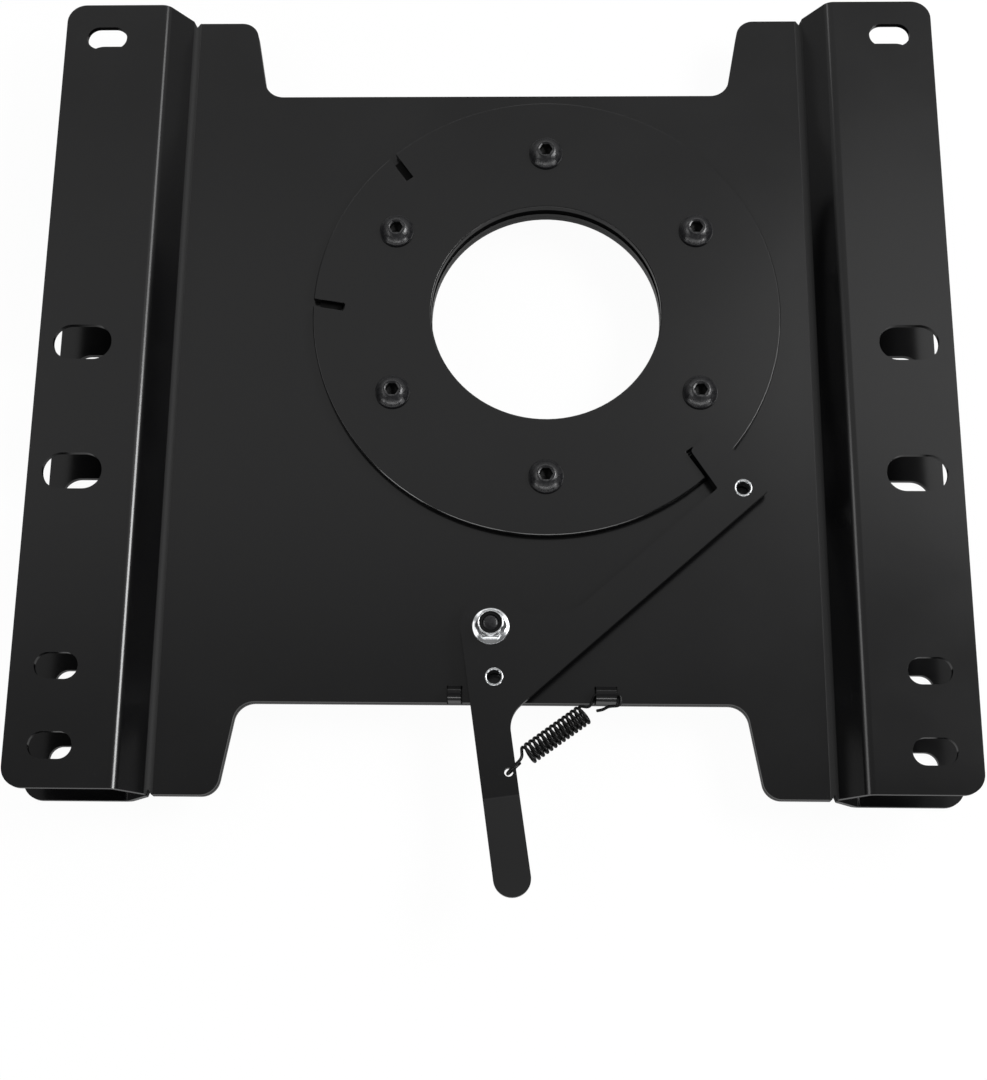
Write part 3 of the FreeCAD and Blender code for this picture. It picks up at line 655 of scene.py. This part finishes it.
def heights(name):
    """The lowest and highest level of a measured node, in mm."""
    low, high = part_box(name)
    return low.z / MM, high.z / MM


DISC_TOP = heights("lock_disc")[1]
LEVER_UNDER = heights("lever_pad_2")[1]
print("disc top at", round(DISC_TOP, 2), "mm, lever underside at", round(LEVER_UNDER, 2), "mm")

# %% [markdown]
# The six button-head screws clamp the whole hub. A button head is a shallow dome on a thin rim,
# with a hexagon socket whose mouth is chamfered and whose floor is a drill cone. The end of each
# thread shows below its nut, so the ridge is modelled there and nowhere else.

# %% Button-head screws
SCREW_NUMBERS = range(1, 7)
HEAD_RADIUS, HEAD_HEIGHT, HEAD_RIM = 8.75, 5.5, 0.12
DOME_RADIUS, DOME_START, DOME_END, DOME_STEPS = 8.6, 24.0, 66.0, 12
KEY_ACROSS, KEY_DEPTH = 6.0, 3.5
KEY_CORNER = KEY_ACROSS / math.sqrt(3)
DRILL_DEPTH, DRILL_TIP, DRILL_SHARE = 1.4, 0.3, 0.9
MOUTH_DEPTH, MOUTH_ROUND = 0.4, 0.1
MOUTH_WIDER, LIP_WIDER = 0.2, 0.25
CORNER_SLACK = 0.01
SHANK_RADIUS, SCREW_PITCH, SCREW_THREAD = 4.95, 1.5, 0.75
THREAD_IN_NUT = 2.0
THREAD_END = 0.7
END_CHAMFER = ((0.1, 1.0), (0.0, 1.3))


def button_screw_outline(end, nut_under):
    """From the socket's floor over the head and down to the end."""
    top = DISC_TOP + HEAD_HEIGHT
    key_floor = top - KEY_DEPTH
    mouth = KEY_CORNER + MOUTH_WIDER
    thread_top = nut_under + THREAD_IN_NUT
    socket = [(key_floor - DRILL_DEPTH, DRILL_TIP),
              (key_floor, hexagon(DRILL_SHARE * KEY_ACROSS)),
              (key_floor, hexagon(KEY_ACROSS)),
              (top - MOUTH_DEPTH, hexagon(KEY_ACROSS)),
              (top - MOUTH_ROUND, mouth),
              (top, mouth + LIP_WIDER)]
    dome = arc_rings(HEAD_RADIUS - DOME_RADIUS * math.sin(math.radians(DOME_END)),
                     top - DOME_RADIUS * math.cos(math.radians(DOME_START)),
                     DOME_RADIUS, 90 - DOME_START, 90 - DOME_END, DOME_STEPS)
    shank = [(DISC_TOP + HEAD_RIM, HEAD_RADIUS),
             (DISC_TOP, HEAD_RADIUS - HEAD_RIM),
             (DISC_TOP, SHANK_RADIUS),
             (thread_top, SHANK_RADIUS)]
    thread = thread_rings(end + THREAD_END, thread_top, SHANK_RADIUS, SCREW_PITCH, SCREW_THREAD)
    chamfer = [(end + height, SHANK_RADIUS - less) for height, less in END_CHAMFER]
    return socket + dome + shank + thread[::-1] + chamfer


def paint_socket_shade(screw, centre):
    """Paints shade on the faces inside a screw's socket with a dull near black finish."""
    screw.data.materials.append(SOCKET_SHADE)
    for polygon in screw.data.polygons:
        from_axis = (polygon.center.xy - centre.xy).length / MM
        above_disc = polygon.center.z / MM - DISC_TOP
        inside = from_axis < KEY_CORNER + CORNER_SLACK
        if inside and 0 < above_disc < HEAD_HEIGHT - MOUTH_DEPTH:
            polygon.material_index = 1


for number in SCREW_NUMBERS:
    node = f"disc_screw_{number}"
    outline = button_screw_outline(heights(node)[0], heights(f"disc_nut_{number}")[0])
    screw = lathe(f"button_screw_{number}", outline, plan_centre(node), BLACK_OXIDE,
                  "lower_frame", node)
    paint_socket_shade(screw, plan_centre(node))
print("button screws:", len(SCREW_NUMBERS), "rings each:", len(outline))

# %% [markdown]
# Flange nuts have a washer face forged on. The hexagon's corners are turned off by a chamfer at the
# top, and the flange falls away in a shallow cone. One outline serves all seven nuts. It starts and
# ends at the bore, so the nut is a closed tube and the thread shows inside it.

# %% Flange nuts
SEAT_WIDER = 0.5
FLANGE_ROUND, FLANGE_EDGE, FLANGE_STEP = 0.25, 0.75, 0.15
CONE_STEPS, CONE_RISE, FLATS_START = 6, 0.5, 0.9
CHAMFER_DROPS = (1.3, 1.0, 0.7, 0.45, 0.2, 0.0)
CHAMFER_WIDER, CHAMFER_SLOPE = 0.15, 0.9
BORE_CHAMFER = 0.6
COLLAR_HEIGHT = 3.0
COLLAR_FOOT = ((0.15, 0.2), (0.35, 0.0), (COLLAR_HEIGHT - 0.9, 0.0))
COLLAR_ROLL, ROLL_END, ROLL_STEPS = 0.48, 160, 8
COLLAR_INSIDE = ((0.8, 0.92), (2.0, 1.0))


def flange_nut_outline(across, flange, flange_height, height, bore, collar=None):
    """From the bore's foot round the outside to its top, or to a lock nut's rolled collar.

    Heights are from the seat, and the collar is its outer radius.
    """
    corner = across / math.sqrt(3)
    hexagon_top = height if collar is None else height - COLLAR_HEIGHT
    rings = [(0.0, bore + SEAT_WIDER), (0.0, flange - FLANGE_ROUND),
             (FLANGE_ROUND, flange), (FLANGE_EDGE, flange)]
    for step in range(1, CONE_STEPS + 1):
        share = step / CONE_STEPS
        cone = flange - FLANGE_STEP + (across / 2 - flange) * share
        level = FLANGE_EDGE + (flange_height + CONE_RISE - FLANGE_EDGE) * share
        rings.append((level, hexagon(across, least=cone)))
    rings.append((flange_height + FLATS_START, hexagon(across)))
    for drop in CHAMFER_DROPS:
        turned = corner + CHAMFER_WIDER - (CHAMFER_DROPS[0] - drop) * CHAMFER_SLOPE
        rings.append((hexagon_top - drop, hexagon(across, most=turned)))
    if collar is None:
        return rings + [(height, bore + BORE_CHAMFER), (height - BORE_CHAMFER, bore)]
    rings += [(hexagon_top + rise, collar + wider) for rise, wider in COLLAR_FOOT]
    rings += arc_rings(collar - COLLAR_ROLL, height - COLLAR_ROLL, COLLAR_ROLL,
                       0, ROLL_END, ROLL_STEPS)
    return rings + [(height - drop, collar - less) for drop, less in COLLAR_INSIDE]


for number in SCREW_NUMBERS:
    node = f"disc_nut_{number}"
    seat = heights(node)[1]
    outline = flange_nut_outline(across=15.0, flange=10.5, flange_height=2.0, height=10.0, bore=4.9)
    hanging = [(seat - height, radius) for height, radius in outline]
    lathe(f"flange_nut_{number}", hanging, plan_centre(node), ZINC, "lower_frame", node,
          hollow=True)
print("flange nuts:", len(SCREW_NUMBERS), "rings each:", len(outline))

# %% [markdown]
# The lock nut on the lever also has a thin collar, rolled over a nylon insert that grips the
# thread. The insert is matt where the nut is bright, so it is a piece of its own.

# %% Lock nut on the lever
# Each row: height from the nut's top, radius.
INSERT_OUTLINE = ((-2.6, 4.0), (-2.6, 5.3), (-1.15, 5.3), (-0.95, 4.6), (-1.1, 4.0))
NUT_SEAT, NUT_TOP = heights("pivot_nut")
PIVOT = plan_centre("pivot_nut")
outline = flange_nut_outline(across=13.0, flange=8.95, flange_height=1.5,
                             height=NUT_TOP - NUT_SEAT, bore=4.1, collar=6.3)
standing = [(NUT_SEAT + height, radius) for height, radius in outline]
lathe("lever_lock_nut", standing, PIVOT, ZINC, "upper_frame", "pivot_nut", hollow=True)
insert = [(NUT_TOP + height, radius) for height, radius in INSERT_OUTLINE]
lathe("lock_nut_insert", insert, PIVOT, DARK_NYLON, "upper_frame", hollow=True)
print("lock nut top at", round(NUT_TOP, 2), "mm")

# %% [markdown]
# The lever turns on a stud that is pressed into the plate from below. Only its end shows, domed and
# a little proud of the nylon in the lock nut, so the thread is modelled at that end alone.

# %% Stud
# Each row: height from the stud's foot, radius.
STUD_HEAD = ((0.0, 6.9), (1.5, 6.95), (1.6, 6.8), (1.6, 3.95))
STUD_RADIUS = 3.95
STUD_THREAD = (4.0, 0.8)
THREAD_MAJOR, STUD_PITCH, STUD_RIDGE = 3.98, 1.25, 0.6
DOME_FOOT = (0.6, 3.4)
DOME_DROP, DOME_RISE, DOME_WIDTH = 0.5, 0.4, 3.3
DOME_TURNS = (0.2, 0.6, 1.0, 1.4)

stud_low, stud_high = heights("pivot_stud")
thread_low, thread_high = (stud_high - drop for drop in STUD_THREAD)
stud = [(stud_low + height, radius) for height, radius in STUD_HEAD]
stud.append((thread_low, STUD_RADIUS))
stud += thread_rings(thread_low, thread_high, THREAD_MAJOR, STUD_PITCH, STUD_RIDGE)
stud.append((stud_high - DOME_FOOT[0], DOME_FOOT[1]))
stud += [(stud_high - DOME_DROP + DOME_RISE * math.sin(turn), DOME_WIDTH * math.cos(turn))
         for turn in DOME_TURNS]
lathe("lever_stud", stud, PIVOT, BLACK_OXIDE, "upper_frame", "pivot_stud")
print("stud from", round(stud_low, 2), "to", round(stud_high, 2), "mm")

# %% [markdown]
# The glide pads are held by tubular rivets. A rolling tool curls each end of the tube outwards, so
# the lip is a half round that runs down into the bore.

# %% Tubular rivets
RIVET_BORE, RIVET_BARREL, RIVET_ROLL = 3.25, 3.75, 4.5
LIP_HEIGHT, LIP_STEPS = 0.9, 8
LIP_FOOT, LIP_RISE = 0.9, 0.75
BORE_ROUND = 0.15
UNDER_LIP = 0.1
BORE_END = 0.2
# Each row: height from the rivet's foot, radius.
LOWER_LIP = ((0.9, RIVET_BARREL), (0.9, RIVET_ROLL - 0.1), (0.45, RIVET_ROLL),
             (0.0, RIVET_ROLL - 0.5), (0.0, RIVET_BORE + 0.4))


def rivet_outline(low, high):
    """Up the bore, over the rolled lip, down the barrel and round the lower lip."""
    middle = (RIVET_BORE + BORE_ROUND + RIVET_ROLL) / 2
    half_width = (RIVET_ROLL - RIVET_BORE - BORE_ROUND) / 2
    lip_rise = LIP_HEIGHT * LIP_RISE
    rings = [(low + BORE_END, RIVET_BORE), (high - LIP_HEIGHT * LIP_FOOT, RIVET_BORE)]
    for step in range(LIP_STEPS + 1):
        turn = math.pi * (1 - step / LIP_STEPS)
        rings.append((high - lip_rise + lip_rise * math.sin(turn),
                      middle + half_width * math.cos(turn)))
    rings += [(high - LIP_HEIGHT, RIVET_ROLL - UNDER_LIP), (high - LIP_HEIGHT, RIVET_BARREL)]
    return rings + [(low + height, radius) for height, radius in LOWER_LIP]


for number in (1, 2):
    node = f"lever_rivet_{number}"
    lathe(f"rolled_rivet_{number}", rivet_outline(*heights(node)), plan_centre(node), ZINC,
          "lever", node, hollow=True)
print("rivets: 2, lip", LIP_HEIGHT, "mm high")

# %% [markdown]
# ## The return spring
# The spring is one length of black wire: a hook through the handle's hole, a close coil, and a hook
# round the tab on the upper plate. It stretches when the lever moves. Here it is one fixed piece in
# its resting shape. Its route is a helix between two hooks. Each hook is a few corner points with
# rounded bends, which is how such a hook is bent.

# %% Route of the wire
WIRE_RADIUS = 0.75
COIL_RADIUS = 4.6
COILS, COIL_STEPS = 14, 28
PIVOT_MM = PIVOT / MM
LEVER_TOP = heights("lever_rivet_2")[1] - LIP_HEIGHT
EYE = heights("pivot_bush")[0] + 1.9
BEND_RADIUS, BEND_STEPS, BEND_SHARE = 2.2, 6, 0.48
WIRE_GAP = 0.3
HOOK_TAIL, HOOK_SLACK, COIL_LEAD = 7.5, 0.7, 3.0
JOIN_STEPS = 4
# The hook at the tab: places in plan from the tab's corner.
ANCHOR_ROUTE = ((-3.0, -2.4), (-0.6, 3.9), (11.8, 3.9), (11.6, -1.4), (5.8, -1.7), (3.4, -3.3),
                (0.3, -3.9))


def from_pivot(x, y, z):
    """A point in mm from a place in plan beside the lever's pivot and a height."""
    return Vector((PIVOT_MM.x + x, PIVOT_MM.y + y, z))


COIL_START = from_pivot(17.7, -61.6, (LEVER_TOP + LEVER_UNDER) / 2)
COIL_END = from_pivot(45.2, -40.7, EYE)
HOLE = from_pivot(9.0, -70.0, 0)
TAB_CORNER = from_pivot(50.4, -35.5, EYE)


def coil_points():
    """Points of the coil about its axis."""
    axis = COIL_END - COIL_START
    turn = axis.to_track_quat("Z", "Y")
    points = []
    count = COILS * COIL_STEPS
    for step in range(count + 1):
        angle = 2 * math.pi * step / COIL_STEPS
        spoke = Vector((COIL_RADIUS * math.cos(angle), COIL_RADIUS * math.sin(angle), 0))
        points.append(COIL_START + turn @ spoke + axis * step / count)
    return points


def rounded_run(corners):
    """Corner points replaced by smooth bends that stay inside each corner."""
    points = [corners[0]]
    for before, corner, after in zip(corners, corners[1:], corners[2:]):
        reach_in = min(BEND_RADIUS, BEND_SHARE * (before - corner).length)
        reach_out = min(BEND_RADIUS, BEND_SHARE * (after - corner).length)
        start = corner + (before - corner).normalized() * reach_in
        end = corner + (after - corner).normalized() * reach_out
        for step in range(BEND_STEPS + 1):
            t = step / BEND_STEPS
            points.append(start * (1 - t) ** 2 + corner * 2 * t * (1 - t) + end * t ** 2)
    return points + [corners[-1]]


def handle_corners(coil):
    """The hook at the handle: under the lever, up through its hole and over to the coil."""
    back = (Vector((COIL_START.x, COIL_START.y, 0)) - HOLE).normalized()
    over = LEVER_TOP + WIRE_RADIUS + WIRE_GAP
    under = Vector((0, 0, LEVER_UNDER - WIRE_RADIUS - WIRE_GAP))
    lead = COIL_START - (COIL_END - COIL_START).normalized() * COIL_LEAD
    return [HOLE + back * HOOK_TAIL + under, HOLE - back * HOOK_SLACK + under,
            HOLE - back * HOOK_SLACK + Vector((0, 0, over)), Vector((lead.x, lead.y, over)),
            coil[0], coil[JOIN_STEPS - 1]]


coil = coil_points()
anchor_corners = [coil[-JOIN_STEPS], coil[-1]]
anchor_corners += [TAB_CORNER + Vector((x, y, 0)) for x, y in ANCHOR_ROUTE]
route = rounded_run(handle_corners(coil))[:-1]
route += coil[JOIN_STEPS:-JOIN_STEPS]
route += rounded_run(anchor_corners)[1:]
wire_length = sum((b - a).length for a, b in zip(route, route[1:]))
print("spring wire:", round(wire_length), "mm long")

# %% [markdown]
# The wire is swept along that route as rings of points, with a frame that is carried from one point
# to the next, so that it never twists where the route bends. A curve with a round bevel could make
# a wire too. Rings keep the number of faces in plain view, which a long coil soon runs up.

# %% Sweep the wire
WIRE_SIDES = 12
TIP_SHARE = 0.5


def sweep(name, points, radius, sides, material):
    """A round wire along points in mm, with a carried frame and domed ends."""
    shape = bmesh.new()
    tangents = []
    for i in range(len(points)):
        before = points[max(i - 1, 0)]
        after = points[min(i + 1, len(points) - 1)]
        tangents.append((after - before).normalized())
    across = tangents[0].orthogonal().normalized()
    rings = []
    for i, point in enumerate(points):
        if i:
            across = tangents[i - 1].rotation_difference(tangents[i]) @ across
        side_way = tangents[i].cross(across)
        ring = []
        for side in range(sides):
            angle = 2 * math.pi * side / sides
            spoke = across * math.cos(angle) + side_way * math.sin(angle)
            ring.append(shape.verts.new((point + spoke * radius) * MM))
        rings.append(ring)
    for first, second in zip(rings, rings[1:]):
        join_rings(shape, first, second)
    for ring, point, way in ((rings[0], points[0], -tangents[0]),
                             (rings[-1], points[-1], tangents[-1])):
        close_ring(shape, ring, shape.verts.new((point + way * radius * TIP_SHARE) * MM))
    return new_piece(name, shape, material)


spring = sweep("spring_wire", route, WIRE_RADIUS, WIRE_SIDES, SPRING_BLACK)
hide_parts("return_spring")
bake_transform(spring)
print("spring faces:", len(spring.data.polygons))
